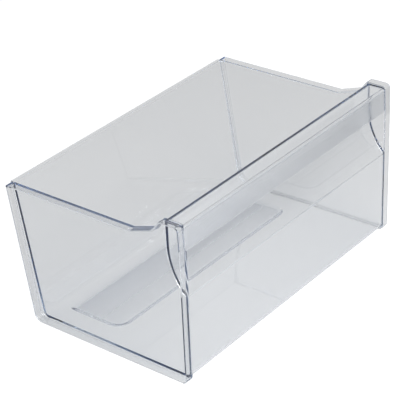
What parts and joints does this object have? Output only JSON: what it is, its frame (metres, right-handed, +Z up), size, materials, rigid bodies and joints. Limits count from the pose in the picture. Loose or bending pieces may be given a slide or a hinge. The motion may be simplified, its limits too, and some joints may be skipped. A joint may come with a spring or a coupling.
{
  "type": "crisper drawer",
  "caption": "Clear open-topped crisper drawer with a full-width hooded handle, a curved finger grip, a sloped back wall and recessed end panels set in flanges.",
  "frame": {"origin": "middle of the rectangle under the drawer, on the plane of its resting edges", "axes": "+X runs along the front to the right as seen from the front, +Y from the front to the back, +Z up; the handle faces -Y"},
  "size_m": [0.444, 0.284, 0.2222],
  "materials": {
    "clear_styrene": "clear moulded general purpose polystyrene, polished, with the faintest grey cast"
  },
  "bodies": {
    "root": {"drawer_body": "clear_styrene", "left_end_panel": "clear_styrene", "right_end_panel": "clear_styrene"}
  },
  "joints": []
}
